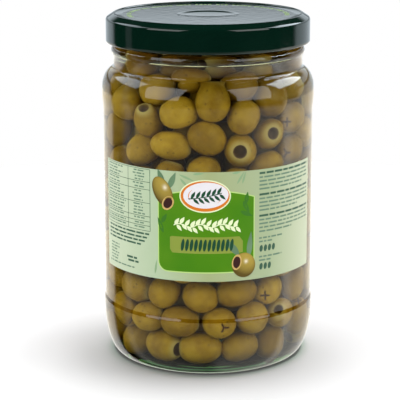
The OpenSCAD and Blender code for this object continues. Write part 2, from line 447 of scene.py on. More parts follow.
def wall_reach(z, size):
    """Greatest radius for a ball of radius size at height z: the wall's radius less the ball's own
    half width at that point of the wall, least over all points of the wall."""
    rise = np.abs(fine[None, :, 1] - z[:, None])
    half = np.sqrt(np.clip((size[:, None] + film) ** 2 - rise ** 2, 0, None))
    side = fine[None, :, 0] > inner_foot_r
    return np.where((rise < size[:, None] + film) & side, fine[None, :, 0] - half, 1000.0).min(axis=1)


# Loose packing: the olives push each other apart as balls, and keep inside the glass and off the core
ball = 0.5 * (half_thick + half_long) * 0.97
start_r = np.where(at_wall, wall_reach(height, depth), inner_start_r)
middle = np.column_stack([start_r * np.sin(angle), -start_r * np.cos(angle), height])
give = np.where(at_front, 0.06, 1.0)
for step in range(220):
    apart = middle[:, None] - middle[None]
    far = np.sqrt((apart ** 2).sum(axis=-1)) + np.eye(count) * 1000
    overlap = np.clip(ball[:, None] + ball[None] - far, 0, None)
    share = give[:, None] / (give[:, None] + give[None])
    push = (apart / far[..., None] * (overlap * share)[..., None]).sum(axis=1)
    middle += 0.5 * push
    r = np.hypot(middle[:, 0], middle[:, 1])
    size = np.where(at_wall, depth, ball)
    limit = wall_reach(middle[:, 2], size)
    wanted = np.clip(r, core_r + off_core, limit)
    wanted = np.where(at_wall, wanted + 0.3 * (limit - wanted), wanted)
    wanted = np.where(at_front, limit, wanted)
    middle[:, :2] *= (wanted / r)[:, None]
    low = floor_z + kick_h * (1 - np.clip(wanted / inner_foot_r, 0, 1) ** 2) + floor_gap
    middle[:, 2] = np.clip(middle[:, 2], low + half_thick * 0.95, top_z - ball)

# Frame of each olive: its long axis and two directions across it
across = np.cross(axis, np.where(np.abs(axis[:, 2:]) < 0.9, [[0.0, 0.0, 1.0]], [[1.0, 0.0, 0.0]]))
across /= np.linalg.norm(across, axis=1)[:, None]
cross = np.cross(axis, across)


def olive_grid(rows, segments, chosen):
    """Points of olives as a grid. Along the olive, a superellipse: thickness (1 - |t|^p)^(1/p) with t
    from the cut end to the hole, then a rounded rim and the stone's channel back in. Round it, a
    circle with low lumps. The cut is a sharp groove along each of its arms, near the end's middle."""
    turn = np.linspace(0, 2 * math.pi, segments, endpoint=False)[None, None, :]
    number = len(chosen)
    lumps = draw.normal(0, 1, (4, number, 1, 1))
    phase = draw.uniform(0, 2 * math.pi, (4, number, 1, 1))
    hole = draw.uniform(2.9, 3.6, (number, 1))
    power = draw.uniform(2.05, 2.35, (number, 1))
    thick = half_thick[chosen][:, None]
    long = half_long[chosen][:, None]
    # The body's rows are spread by angle up to where its thickness equals the rim's
    rim = hole + 0.7
    end = np.arccos(np.clip((rim / thick) ** (power / 2), 0, 1))
    f = np.linspace(0, 1, rows)[None]
    lat = -math.pi / 2 + (end + math.pi / 2) * f
    radius = thick * np.cos(lat) ** (2 / power)
    radius[:, 0] = 0
    height_along = long * np.sign(np.sin(lat)) * np.abs(np.sin(lat)) ** (2 / power)
    rim_z0 = height_along[:, -1:]
    channel_r = np.concatenate([hole + 0.25, hole, hole - 0.1, hole - 0.5, 0 * hole], axis=1)
    channel_z = rim_z0 + np.array([[0.1, -0.6, -3, -6, -7]])
    radius = np.concatenate([radius, channel_r], axis=1)[..., None]
    along_z = np.concatenate([height_along, channel_z], axis=1)[..., None]
    on_body = np.concatenate([np.ones(rows), np.zeros(5)])[None, :, None]
    swell_in = np.cos(np.clip(along_z / long[..., None], -1, 1) * math.pi / 2)
    wave = 1 + on_body * swell_in * 0.02 * (
        lumps[0] * np.sin(2 * turn + phase[0]) + 0.6 * lumps[1] * np.sin(3 * turn + phase[1])
        + 0.5 * lumps[2] * np.sin(5 * turn + phase[2] + along_z * 0.4)
    )
    taper = 1 + 0.05 * lumps[3] * along_z / long[..., None]
    ring_radius = radius * wave * taper
    arms = np.maximum(cut_arms[chosen], 1)[:, None, None]
    arm_gap = np.abs((turn * arms / (2 * math.pi) + 0.5) % 1 - 0.5) * 2 * math.pi / arms
    off_arm = radius * np.sin(np.clip(arm_gap, 0, math.pi / 2))
    below = along_z < 0
    has_cut = (cut_arms[chosen] > 0)[:, None, None]
    near_end = np.clip(1 - radius / 3.8, 0, 1) ** 0.6 * below * has_cut
    groove = 0.9 * near_end * np.exp(-(off_arm / 0.42) ** 2)
    pucker = 0.5 * np.exp(-(radius / 2.6) ** 2) * below * has_cut
    tip = 0.45 * np.exp(-(radius / 1.3) ** 2) * below * ~has_cut
    long_z = along_z + groove + pucker - tip
    points = middle[chosen][:, None, None] + long_z[..., None] * axis[chosen][:, None, None]
    points = points + (ring_radius * np.cos(turn))[..., None] * across[chosen][:, None, None]
    points = points + (ring_radius * np.sin(turn))[..., None] * cross[chosen][:, None, None]
    # Place across the olive over 20 mm from its axis, whether it is on the cut's end, and the arms
    end_u = 0.5 + ring_radius * np.cos(turn) / 20
    end_v = 0.5 + ring_radius * np.sin(turn) / 20
    cut_end = [end_u, end_v, (below & has_cut) + 0 * end_u, arms + 0 * end_u]
    # Painted shade: darker down the hole's channel, and in the cut's grooves and the far end's dimple by
    # their depth; the hole's rim is paler flesh
    inside = np.concatenate([np.zeros(rows - 1), [0.2, 0.5, 0.8, 1, 1, 1]])[None, :, None]
    cut_flesh = np.concatenate([np.zeros(rows - 2), [0.35, 1, 1, 0.5, 0, 0, 0]])[None, :, None]
    shape = points.shape[:3]
    hole_shade = np.broadcast_to(inside, shape)
    pale = np.broadcast_to(cut_flesh, shape)
    dent_shade = np.broadcast_to(np.clip(groove / 1.1, 0, 1) + 0.6 * tip, shape)
    return points, hole_shade, pale, dent_shade, cut_end


def olive_piece(name, rows, segments, chosen):
    """Joins the grids of the chosen olives into one mesh, with a pole at each end of an olive."""
    points, hole_shade, pale, dent_shade, cut_end = olive_grid(rows, segments, chosen)
    total = points.shape[1]
    # Points of one olive: the cut end's pole, the rings between, and the channel's end
    keep = np.concatenate([[0], np.arange(segments, segments * (total - 1)), [segments * (total - 1)]])
    each = len(keep)
    flat = points.reshape(len(chosen), -1, 3)[:, keep].reshape(-1, 3) * MM
    i = np.arange(segments)
    j = (i + 1) % segments
    quads = 1 + ring_quads(total - 2, segments)
    start_fan = np.column_stack([0 * i, 1 + j, 1 + i])
    last = 1 + (total - 3) * segments
    end_fan = np.column_stack([0 * i + each - 1, last + i, last + j])
    offset = (np.arange(len(chosen)) * each)[:, None, None]
    faces = (quads[None] + offset).reshape(-1, 4).tolist()
    faces += (start_fan[None] + offset).reshape(-1, 3).tolist()
    faces += (end_fan[None] + offset).reshape(-1, 3).tolist()
    piece = meshed(name, flat, faces, 75)
    tone = np.repeat(draw.uniform(0, 1, len(chosen)), each)
    # The flesh layer holds each olive's tone, the painted shade of its hole, its pale rim and the painted
    # shade of its grooves
    for layer_name, parts in (("flesh", (hole_shade, pale, dent_shade)), ("cut_end", cut_end)):
        columns = [part.reshape(len(chosen), -1)[:, keep].ravel() for part in parts]
        if layer_name == "flesh":
            columns = [tone] + columns
        values = piece.data.attributes.new(layer_name, "FLOAT_COLOR", "POINT")
        values.data.foreach_set("color", np.column_stack(columns).ravel())
    return piece


def olive_material():
    """Waxy olive skin: mottled between a yellow and a brown green, each olive a little its own tone,
    with fine pale dots and brown freckles, and darker and browner near the top of the jar, a painted
    shade for the lid's shadow. The hole's rim and the cut's edges are paler flesh; their depths and the
    cut's lines are painted darker, a painted shade in those hollows. Both layers of values are read from the
    mesh."""
    material, nodes = new_material("olive_skin")
    flesh = nodes.add("Attribute", attribute_name="flesh")
    own_tone, hole_shade, pale = nodes.add("SeparateColor", Color=flesh.outputs["Color"]).outputs
    cloud = nodes.texture("Noise", 110.0, Detail=3.0, Roughness=0.6)
    skin = nodes.shades(own_tone, (0, (0.195, 0.106, 0.006)), (1, (0.350, 0.212, 0.018)))
    mottle = nodes.shades(nodes.step(cloud, 0.3, 0.7), (0, (0.72, 0.63, 0.50)), (1, (1.24, 1.24, 1.18)))
    colour = nodes.mixed(1.0, skin, mottle, "MULTIPLY")
    dots = nodes.texture("Voronoi", 900.0)
    colour = nodes.mixed(nodes.step(dots, 0.12, 0.3, 0.22, 0.0), colour, (0.40, 0.31, 0.06))
    freckles = nodes.texture("Voronoi", 260.0)
    colour = nodes.mixed(nodes.step(freckles, 0.08, 0.22, 0.6, 0.0), colour, (0.10, 0.052, 0.012))
    # Painted shade: darker and browner near the top of the jar, for the lid's shadow
    lid_shade = nodes.step(nodes.add("SeparateXYZ", nodes.place()).outputs["Z"], 0.146, 0.170)
    colour = nodes.mixed(lid_shade, colour, (0.52, 0.42, 0.30), "MULTIPLY")
    colour = nodes.mixed(pale, colour, (0.42, 0.32, 0.12))
    # Painted shade down the hole's channel, then in the cut's grooves and the dimple
    colour = nodes.mixed(hole_shade, colour, (0.17, 0.10, 0.05))
    colour = nodes.mixed(flesh.outputs["Alpha"], colour, (0.150, 0.060, 0.016))

    # The cut's lines, painted near black as a painted shade in the cut's slits: close to one of the arms,
    # whose angles are the full turn over their number
    maths = nodes.maths
    end = nodes.add("Attribute", attribute_name="cut_end")
    arms = end.outputs["Alpha"]
    end_u, end_v, on_cut = nodes.add("SeparateColor", Color=end.outputs["Color"]).outputs
    end_u = maths("SUBTRACT", end_u, 0.5)
    end_v = maths("SUBTRACT", end_v, 0.5)
    off_middle = maths("SQRT", maths("ADD", maths("MULTIPLY", end_u, end_u), maths("MULTIPLY", end_v, end_v)))
    turns = maths("DIVIDE", maths("ARCTAN2", end_v, end_u), 2 * math.pi)
    part_turn = maths("FRACT", maths("MULTIPLY_ADD", turns, arms, 4.5))
    folded = maths("ABSOLUTE", maths("SUBTRACT", part_turn, 0.5))
    off_arm = maths("SINE", maths("DIVIDE", maths("MULTIPLY", folded, 2 * math.pi), arms))
    wander = maths("MULTIPLY_ADD", nodes.texture("Noise", 500.0, Detail=1.0), 0.010, -0.005)
    off_line = maths("ADD", maths("MULTIPLY", off_middle, off_arm), wander)
    near_line = nodes.step(off_line, 0.013, 0.036, 1.0, 0.0)
    near_middle = nodes.step(off_middle, 0.12, 0.16, 1.0, 0.0)
    line = maths("MULTIPLY", maths("MULTIPLY", near_line, near_middle), on_cut)
    colour = nodes.mixed(line, colour, (0.035, 0.008, 0.004))

    grain = nodes.texture("Noise", 420.0, Detail=2.0)
    bump = nodes.add("Bump", Height=grain, Strength=0.12, Distance=0.0006)
    gloss = nodes.step(cloud, 0, 1, 0.36, 0.52)
    nodes.surface(Base_Color=colour, Roughness=gloss, IOR=1.4, Specular_IOR_Level=0.22, Normal=bump)
    return material


olive_skin = olive_material()
wall_olives = olive_piece("olives_at_wall", 14, 24, np.flatnonzero(at_wall))
inner_olives = olive_piece("olives_inside", 6, 10, np.flatnonzero(~at_wall))

# Core that stands for the olives deepest in the jar, lumpy like the heap round it
core_rings, core_segments = 60, 64
core_low, core_high = 9.5, 166
core_t = np.linspace(0, 2 * math.pi, core_segments, endpoint=False)[None]
core_z = np.linspace(core_low, core_high, core_rings)[:, None]
core_end = np.clip(np.minimum(core_z - core_low, core_high - core_z) / 12, 0, 1)
core_lump = 2.2 * np.abs(np.sin(3 * core_t + core_z * 0.1)) * np.abs(np.sin(core_z / 5.5))
core_radius = (core_r + core_lump) * np.sqrt(1 - (1 - core_end) ** 2) + 0.01
core_points = [core_radius * np.sin(core_t), -core_radius * np.cos(core_t), core_z + 0 * core_t]
core_faces = ring_quads(core_rings, core_segments).tolist()
core_cap = np.arange(core_segments)
core_faces += [core_cap[::-1].tolist(), ((core_rings - 1) * core_segments + core_cap).tolist()]
core = meshed("olives_core", np.stack(core_points, axis=-1).reshape(-1, 3) * MM, core_faces, 80)
# The core takes half of the olives' painted hole shade, so that it reads as shade deep in the heap
for layer_name, same in (("flesh", [0.2, 0.5, 0.0, 0.0]), ("cut_end", [0.5, 0.5, 0.0, 1.0])):
    values = core.data.attributes.new(layer_name, "FLOAT_COLOR", "POINT")
    values.data.foreach_set("color", np.tile(same, len(core.data.vertices)))

for heap in (wall_olives, inner_olives, core):
    heap.data.materials.append(olive_skin)
    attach(heap, "root")
    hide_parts("olives")


# Label. Coated paper, glued round the front of the panel over 140 degrees. Its print bears no words:
# a green panel with an arched top, an oval, a garland and a banner of narrow olives, two pitted
# olives with leaves, a ruled table on the left and plain lines on the right.

label_z = 54.6
label_h = 60.2
paper_t = 0.2
half_label = math.radians(70) * (panel_r + paper_t)


def on_label(s, z, lift):
    """A place on the label: s millimetres round from its middle, z above its lower edge, lift off it."""
    turn, height = np.broadcast_arrays(np.asarray(s) / (panel_r + paper_t), label_z + np.asarray(z))
    radius = panel_r + paper_t + lift
    return np.stack([radius * np.sin(turn), -radius * np.cos(turn), height], axis=-1) * MM


def paper_grid(columns, rows):
    """The paper's front, back and edges as one closed grid round the sheet's section."""
    s = np.linspace(-half_label, half_label, columns)
    z = np.linspace(0, label_h, rows)
    front_side = on_label(s[None], z[:, None] + 0 * s[None], 0.0)
    back_side = on_label(s[None], z[::-1, None] + 0 * s[None], -paper_t + 0.02)
    return np.concatenate([front_side, back_side])


columns, rows = 121, 4
paper_points = paper_grid(columns, rows).reshape(-1, 3)
i = np.arange(columns - 1)
k = np.arange(2 * rows)[:, None] * columns
after = (np.arange(2 * rows)[:, None] + 1) % (2 * rows) * columns
paper_faces = np.stack([k + i, k + i + 1, after + i + 1, after + i], axis=-1).reshape(-1, 4).tolist()
left_end = [int(row * columns) for row in range(2 * rows)]
right_end = [int(row * columns + columns - 1) for row in range(2 * rows)]
paper_faces += [left_end, right_end[::-1]]
label = meshed("label_paper", paper_points, paper_faces, 40)


def coated_paper(nodes, colour, roughness):
    """The surface of coated paper and of ink on it: satin, over the paper's fine fibre."""
    fibre = nodes.texture("Noise", 1500.0, Detail=2.0)
    bump = nodes.add("Bump", Height=fibre, Strength=0.05, Distance=0.0002)
    nodes.surface(Base_Color=colour, Roughness=roughness, Specular_IOR_Level=0.22, Normal=bump)


def print_material(name, colour, second=None):
    """Ink on coated paper: its colour drifts a little over the sheet, from one shade to a second."""
    material, nodes = new_material(name)
    cloud = nodes.texture("Noise", 38.0, Detail=2.0)
    coated_paper(nodes, nodes.shades(cloud, (0.3, colour), (0.7, second or colour)), 0.38)
    return material


def paper_material():
    """Pale green coated paper: deeper in the middle, paler and creamier towards both sides."""
    material, nodes = new_material("label_ground")
    across_label = nodes.step(nodes.add("SeparateXYZ", nodes.place()).outputs["X"], -0.055, 0.055)
    ground = nodes.shades(across_label, (0.0, (0.51, 0.58, 0.42)), (0.25, (0.41, 0.52, 0.34)),
                          (0.5, (0.33, 0.385, 0.19)), (0.8, (0.36, 0.44, 0.265)), (1.0, (0.54, 0.59, 0.42)))
    coated_paper(nodes, ground, 0.42)
    return material


label.data.materials.append(paper_material())
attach(label, "root")
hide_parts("label")


# The order of a quad's corners that turns it over, from the same first corner
face_outwards = [0, 3, 2, 1]


def tilted(s, z, x, y, tilt):
    """The places x and y from (s, z), turned round it by tilt degrees."""
    turn = math.radians(tilt)
    return s + x * math.cos(turn) - y * math.sin(turn), z + x * math.sin(turn) + y * math.cos(turn)


class Ink:
    """Collects flat printed fields of one colour and lays them on the label as one piece."""

    def __init__(self, lift):
        self.lift = lift
        self.points = []
        self.faces = []
        self.used = 0

    def strip(self, s, z):
        """The strip between two curves, the places of the one followed by those of the other."""
        number = len(s) // 2
        self.points.append(on_label(s, z, self.lift))
        i = self.used + np.arange(number - 1)
        self.faces += np.column_stack([i, i + 1, i + 1 + number, i + number]).tolist()
        self.used += 2 * number

    def field(self, s, low, high):
        """The strip between a lower and an upper curve over the places s."""
        s, low, high = np.broadcast_arrays(s, low, high)
        self.strip(np.concatenate([s, s]), np.concatenate([low, high]))

    def bar(self, s0, s1, z0, z1):
        """A rectangle, in columns narrow enough to follow the curve."""
        s = np.linspace(s0, s1, 2 + int(abs(s1 - s0) / 1.5))
        self.field(s, z0, z1)

    def oval(self, s, z, wide, tall, tilt=0.0, steps=24):
        """A filled ellipse of half sizes wide and tall, turned by tilt degrees, as rings of a grid."""
        a = np.linspace(0, 2 * math.pi, steps, endpoint=False)
        f = np.array([1 / 3, 2 / 3, 1])[:, None]
        around = tilted(s, z, f * wide * np.cos(a), f * tall * np.sin(a), tilt)
        rings = on_label(*around, self.lift).reshape(-1, 3)
        self.points.append(np.vstack([on_label([s], [z], self.lift), rings]))
        base = self.used + 1
        i = np.arange(steps)
        self.faces += np.column_stack([0 * i + self.used, base + i, base + (i + 1) % steps]).tolist()
        self.faces += (base + ring_quads(len(f), steps)[:, face_outwards]).tolist()
        self.used += 1 + len(f) * steps

    def leaf(self, s, z, length, width, tilt):
        """A leaf: two sine arches back to back along a line of the given length and tilt."""
        f = np.linspace(0, 1, 9)
        half = width / 2 * np.sin(math.pi * f ** 0.8)
        x = np.concatenate([f * length, f * length])
        self.strip(*tilted(s, z, x, np.concatenate([-half, half]), tilt))

    def laid(self, name, material):
        """Joins the fields into one piece on the label."""
        piece = meshed(name, np.vstack(self.points), self.faces)
        piece.data.materials.append(material)
        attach(piece, "root")
        return piece


# Green front panel with an arched top and rounded lower corners, in a thin pale outline
panel_left, panel_right = -27.2, 25.2
panel_mid = (panel_left + panel_right) / 2
panel_half = (panel_right - panel_left) / 2
corner = 5.0


def panel_edge(s, grow):
    """Lower and upper edge of the panel, grown by an outline's width, at places s."""
    half = panel_half + grow
    from_side = half - np.abs(s - panel_mid)
    round_r = corner + grow
    inset = np.clip(round_r - from_side, 0, round_r)
    low = 5.3 - grow + round_r - np.sqrt(round_r ** 2 - inset ** 2)
    high = 50.0 + grow - 4.2 * ((s + 1) / 26) ** 2
    return low, high


spread = np.sin(np.linspace(-1, 1, 61) * math.pi / 2)
for name, ink_name, grow, lift, shades in (
    ("print_outline", "print_pale_line", 0.6, 0.02, [(0.46, 0.66, 0.20)]),
    ("print_panel", "print_green", 0.0, 0.04, [(0.052, 0.205, 0.000), (0.080, 0.236, 0.001)]),
):
    panel = Ink(lift)
    s_line = panel_mid + (panel_half + grow) * spread
    panel.field(s_line, *panel_edge(s_line, grow))
    panel.laid(name, print_material(ink_name, *shades))

# Banner under the middle of the panel, with slanted ends
banner = Ink(0.06)
banner.field(np.array([-20.7, -19.5]), np.array([17.6, 15.6]), np.array([24.2, 24.7]))
banner.bar(-19.5, 17.0, 15.6, 24.7)
banner.field(np.array([17.0, 19.0]), np.array([15.6, 15.9]), np.array([24.7, 22.0]))
banner.laid("print_banner", print_material("print_banner_green", (0.235, 0.30, 0.045), (0.205, 0.265, 0.036)))

# Oval in cream, orange and white above it, bare but for a small olive twig
cream = Ink(0.06)
cream.oval(-1.5, 47.1, 13.8, 9.0, 0, 48)
orange = Ink(0.08)
orange.oval(-1.5, 47.1, 13.1, 8.3, 0, 48)
white = Ink(0.10)
white.oval(-1.1, 47.6, 12.1, 7.1, 2, 48)
orange.laid("print_orange", print_material("print_orange_ink", (0.62, 0.17, 0.015)))
white.laid("print_white", print_material("print_white_ink", (0.72, 0.70, 0.73)))

# Cream garland of leaves across the panel
wave = np.linspace(0, 1, 61)
garland_s = -18.5 + 34.5 * wave
garland_z = 30.9 + 0.9 * np.sin(wave * 6 * math.pi)
cream.field(garland_s, garland_z - 0.3, garland_z + 0.3)
for n in range(12):
    s0 = -18.0 + 2.9 * n
    z0 = float(np.interp(s0, garland_s, garland_z))
    cream.leaf(s0, z0, 4.6, 2.0, 56)
    cream.leaf(s0 + 1.2, z0, 4.2, 1.9, -50)
cream.laid("print_cream", print_material("print_cream_ink", (0.72, 0.80, 0.50)))

# Dark green ink: the twig in the oval, and a row of narrow olives on the banner
dark = Ink(0.12)
twig_s = np.linspace(-10.5, 7.5, 25)
twig_z = 45.6 + 3.2 * np.linspace(0, 1, 25) ** 1.5
dark.field(twig_s, twig_z - 0.25, twig_z + 0.25)
for n in range(6):
    s0 = -9 + 2.8 * n
    z0 = 45.6 + 3.2 * ((s0 + 10.5) / 18) ** 1.5
    dark.leaf(s0, z0, 4.6, 1.7, 60)
    dark.leaf(s0 + 1.2, z0, 4.4, 1.6, -42)
for n in range(12):
    dark.oval(-13.6 + 2.4 * n, 20.2, 0.92, 3.4, -8, 16)
dark.laid("print_dark", print_material("print_dark_green", (0.010, 0.065, 0.030)))

# Soft sprigs in a deeper tone, on the ground and on the panel
sprig = Ink(0.03)
for s0, z0, length, tilt in ((-15.5, 58.6, 9, -22), (-15, 56.6, 7, -48), (15.6, 53.4, 8, 58),
                             (18.6, 53.4, 7, 74), (-29.8, 2.5, 8, 82), (13.0, 59.2, 5, 8), (-8, 59.0, 6, 5)):
    sprig.leaf(s0, z0, length, 1.25, tilt)
sprig.laid("print_sprig", print_material("print_sprig_green", (0.24, 0.37, 0.20)))
shade = Ink(0.05)
for s0, z0, length, tilt in ((-24.5, 26.0, 9, 112), (-25.5, 31.5, 6, 60), (19.0, 44.0, 8, -62),
                             (17.5, 38.5, 8, -25), (20.5, 42.0, 7, 80)):
    shade.leaf(s0, z0, length, 2.4, tilt)
shade.laid("print_shade", print_material("print_shade_green", (0.040, 0.165, 0.012)))

# Leaves behind the two pictured olives
leaves = Ink(0.09)
for s0, z0, length, width, tilt in ((-24.2, 52.0, 9.5, 3.4, 112), (-21.4, 50.5, 10.0, 3.3, 66),
                                    (17.0, 14.0, 12.0, 3.6, 128), (22.2, 12.0, 15.0, 3.2, 84)):
    leaves.leaf(s0, z0, length, width, tilt)
leaves.laid("print_leaves", print_material("print_leaf_green", (0.085, 0.165, 0.085), (0.16, 0.27, 0.15)))


def pictured_olive(name, s, z, wide, tall, tilt, hole_s, hole_z, hole_w, hole_t, hole_tilt):
    """A printed olive: an ellipse as a fine polar grid, shaded by its own colour attribute, with a pale
    rimmed hole. The shade is a ball's: lighter up and to one side, darker at the lower edge."""
    steps, rings = 32, 10
    a = np.linspace(0, 2 * math.pi, steps, endpoint=False)[None]
    f = np.linspace(0.04, 1, rings)[:, None]
    place_s, place_z = tilted(s, z, wide * f * np.cos(a), tall * f * np.sin(a), tilt)
    nearness = np.sqrt(np.clip(1 - f ** 2, 0, 1)) + 0 * a
    off_s = (place_s - s) / max(wide, tall)
    off_z = (place_z - z) / max(wide, tall)
    glow = np.clip(0.25 * off_s + 0.45 * off_z + 0.55 * nearness, 0, 1)
    glint = np.exp(-((off_s - 0.18) ** 2 + (off_z - 0.28) ** 2) / 0.02)
    low, high = np.array([0.10, 0.065, 0.008]), np.array([0.50, 0.37, 0.06])
    light = np.array([0.90, 0.84, 0.68])
    colour = low + (high - low) * glow[..., None]
    colour = colour + (light - colour) * 0.75 * glint[..., None]
    points = [on_label(place_s, place_z, 0.13).reshape(-1, 3)]
    shades = [colour.reshape(-1, 3)]
    i = np.arange(steps)
    faces = ring_quads(rings, steps)[:, face_outwards].tolist() + [i.tolist()]
    used = rings * steps
    for grow, lift, tint in ((1.35, 0.15, (0.54, 0.36, 0.12)), (1.0, 0.17, (0.040, 0.012, 0.010))):
        x = hole_w * grow * np.cos(a[0])
        y = hole_t * grow * np.sin(a[0])
        points.append(on_label(*tilted(hole_s, hole_z, x, y, hole_tilt), lift))
        shades.append(np.tile(tint, (steps, 1)))
        faces.append((used + i).tolist())
        used += steps
    piece = meshed(name, np.vstack(points), faces)
    tints = piece.data.attributes.new("ink", "FLOAT_COLOR", "POINT")
    tints.data.foreach_set("color", np.column_stack([np.vstack(shades), np.ones(used)]).ravel())
    return piece


def pictured_material():
    """Inks of the pictured olives, from the piece's own colours, faintly uneven."""
    material, nodes = new_material("print_olive_inks")
    tints = nodes.add("Attribute", attribute_name="ink").outputs["Color"]
    cloud = nodes.texture("Noise", 900.0, Detail=2.0)
    tinted = nodes.add("VectorMath", tints, operation="SCALE", Scale=nodes.step(cloud, 0, 1, 0.9, 1.1))
    nodes.surface(Base_Color=tinted, Roughness=0.38, Specular_IOR_Level=0.22)
    return material


olive_inks = pictured_material()
for pictured in (
    pictured_olive("print_olive_upper", -25.0, 48.6, 5.3, 8.6, 28, -21.8, 42.6, 2.3, 3.1, -35),
    pictured_olive("print_olive_lower", 19.6, 8.6, 6.6, 6.9, 20, 15.6, 10.4, 2.0, 3.2, -10),
):
    pictured.data.materials.append(olive_inks)
    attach(pictured, "root")

# Ruled table and lines of small print, as plain bars of uneven length
fine_print = Ink(0.03)
table_left, table_mid, table_right = -70.0, -48.4, -32.7
table_rows = (59.6, 52.6, 48.4, 41.0, 33.6, 30.8, 28.4, 25.6)
for z0 in table_rows:
    fine_print.bar(table_left, table_right, z0 - 0.14, z0 + 0.14)
for s0 in (table_left, table_mid, table_right):
    fine_print.bar(s0 - 0.15, s0 + 0.15, table_rows[-1], table_rows[0])
small = Ink(0.025)


def small_line(ink, s0, s1, z0, tall, gap_every=3.4):
    """A line of small print: bars of uneven length with narrow gaps."""
    at = s0
    while at < s1 - 0.6:
        width = min(gap_every * draw.uniform(0.4, 1.5), s1 - at)
        ink.bar(at, at + width, z0, z0 + tall)
        at += width + 0.75


for high, low in zip(table_rows[:-1], table_rows[1:]):
    lines = max(1, int((high - low) / 1.75))
    for n in range(lines):
        z0 = high - 1.5 - n * (high - low - 0.6) / lines
        small_line(small, -68.6, -50.4 - draw.uniform(0, 7), z0, 0.75)
        if n < 4:
            small_line(small, -43 - draw.uniform(0, 2), -38 + draw.uniform(0, 2), z0, 0.75)
for n in range(4):
    small_line(fine_print, -68.5, -33.4 - 1.5 * n, 23.4 - 2.1 * n, 0.95, 5.0)
for n in range(6):
    small_line(small, -66.5, -56.5 - draw.uniform(0, 3), 13.6 - 1.7 * n, 0.7)
small_line(fine_print, -50.0, -42.0, 8.6, 1.1)
small_line(fine_print, -49.0, -40.5, 6.6, 1.1)
small_line(small, -68.0, -44.0, 3.2, 0.75)
for block in range(3):
    for n in range(5):
        z0 = 57.6 - 11.7 * block - 2.12 * n
        reach = 69.0 if n < 4 else 62.0 - 5 * block
        small_line(fine_print if n == 0 else small, 28.6, reach, z0, 1.15 if n == 0 else 0.9, 4.6)
for z0, s1 in ((22.0, 44.5), (20.0, 37.0), (11.6, 44.0), (9.6, 36.5)):
    small_line(small, 28.6, s1, z0, 0.9)
for n in range(4):
    fine_print.oval(29.9 + 2.7 * n, 16.6, 1.05, 1.9, -8, 16)
    if n < 3:
        fine_print.oval(29.9 + 2.7 * n, 6.6, 1.05, 1.9, -8, 16)
fine_print.laid("print_lines", print_material("print_line_green", (0.04, 0.105, 0.065)))
small.laid("print_small", print_material("print_small_green", (0.13, 0.22, 0.15)))


# Lid. A twist-off lid pressed from tinplate and lacquered dark green: a flat panel with a sunk
# safety button, a raised ring at its edge, a plain skirt and a rolled curl at its foot.

lid_r = 56.5
sheet_t = 0.4
lid_panel_z = rim_z + sheet_t
lid_top = lid_panel_z + 1.0
lid_foot_z = lid_top - 15.7
curl_r = 0.9
button_r = 17.3
button_rim_r = button_r - 4.6
ring_in, ring_round = 4.2, 0.8
corner_round, corner_drop = 1.8, 3.5


def lid_line(depth):
    """The lid's surface from the axis to the skirt, moved into the sheet by depth."""
    button = dome(button_rim_r, -0.6, -1.1, 10) + [0, lid_panel_z - depth]
    slope = swell(0, button_rim_r, 0.6, button_r, 8)[:, ::-1] + [0, lid_panel_z - 0.6 - depth]
    flat_r = np.linspace(button_r + 0.3, lid_r - ring_in - 2, 12)
    return np.vstack([
        button,
        slope[1:],
        np.column_stack([flat_r, np.full(len(flat_r), lid_panel_z - depth)]),
        arc(lid_r - ring_in, lid_top - ring_round, ring_round - depth, 165, 60, 12),
        arc(lid_r - corner_round, lid_top - corner_drop, corner_round - depth, 62, 0, 14),
        upright(lid_r - depth, lid_foot_z + curl_r, lid_top - corner_drop, 1.0)[::-1],
    ])


curl_end = math.degrees(math.acos((curl_r - sheet_t) / curl_r)) - 360
curl = arc(lid_r - curl_r, lid_foot_z + curl_r, curl_r, 0, curl_end, 24)
lid = turned("lid_pressed", np.vstack([lid_line(0), curl, lid_line(sheet_t)[::-1]])[::-1], 256)


def lacquer_material():
    """Glossy dark green lacquer, with the faint orange-peel of a sprayed sheet."""
    material, nodes = new_material("green_lacquer")
    cloud = nodes.texture("Noise", 30.0, Detail=3.0)
    green = nodes.shades(cloud, (0.35, (0.0010, 0.0095, 0.0055)), (0.65, (0.0014, 0.0120, 0.0070)))
    peel = nodes.texture("Noise", 260.0, Detail=1.0)
    bump = nodes.add("Bump", Height=peel, Strength=0.05, Distance=0.0005)
    rough = nodes.step(cloud, 0, 1, 0.05, 0.09)
    nodes.surface(Base_Color=green, Roughness=rough, Specular_IOR_Level=0.5, Normal=bump)
    return material


lid.data.materials.append(lacquer_material())
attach(lid, "root")
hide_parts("lid")


# Lid's print. A little over half a ring of small dashes on the lid's panel, in pale green ink, in
# groups of uneven length. It stands for lettering and bears none.

dash_r = np.array([42.4, 45.0])
dash_start, dash_end = 82.0, 277
dash_spans = []
at = dash_start
while at < dash_end:
    for _ in range(draw.integers(3, 8)):
        width = draw.uniform(1.6, 3.0)
        dash_spans.append((at, at + width))
        at += width + 0.9
    at += 2.6
dash_spans = np.radians(np.array(dash_spans))
dash_turn = dash_spans[:, :1] + (dash_spans[:, 1:] - dash_spans[:, :1]) * np.linspace(0, 1, 3)[None]
dash_points = np.stack([
    dash_r[None, :, None] * np.sin(dash_turn)[:, None],
    -dash_r[None, :, None] * np.cos(dash_turn)[:, None],
    np.full((len(dash_spans), 2, 3), lid_panel_z + 0.02),
], axis=-1)
i = np.arange(2)
one = np.column_stack([i, i + 3, i + 4, i + 1])
dash_faces = (one[None] + np.arange(len(dash_spans))[:, None, None] * 6).reshape(-1, 4)[:, ::-1].tolist()
dashes = meshed("lid_print", dash_points.reshape(-1, 3) * MM, dash_faces)
dashes.data.materials.append(print_material("lid_print_ink", (0.24, 0.36, 0.14)))
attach(dashes, "root")


# Studio. A round white table with its own lights from above; soft lights in front, at the sides and
# over the jar; a white ground behind. The camera looks down at the jar from a little above.

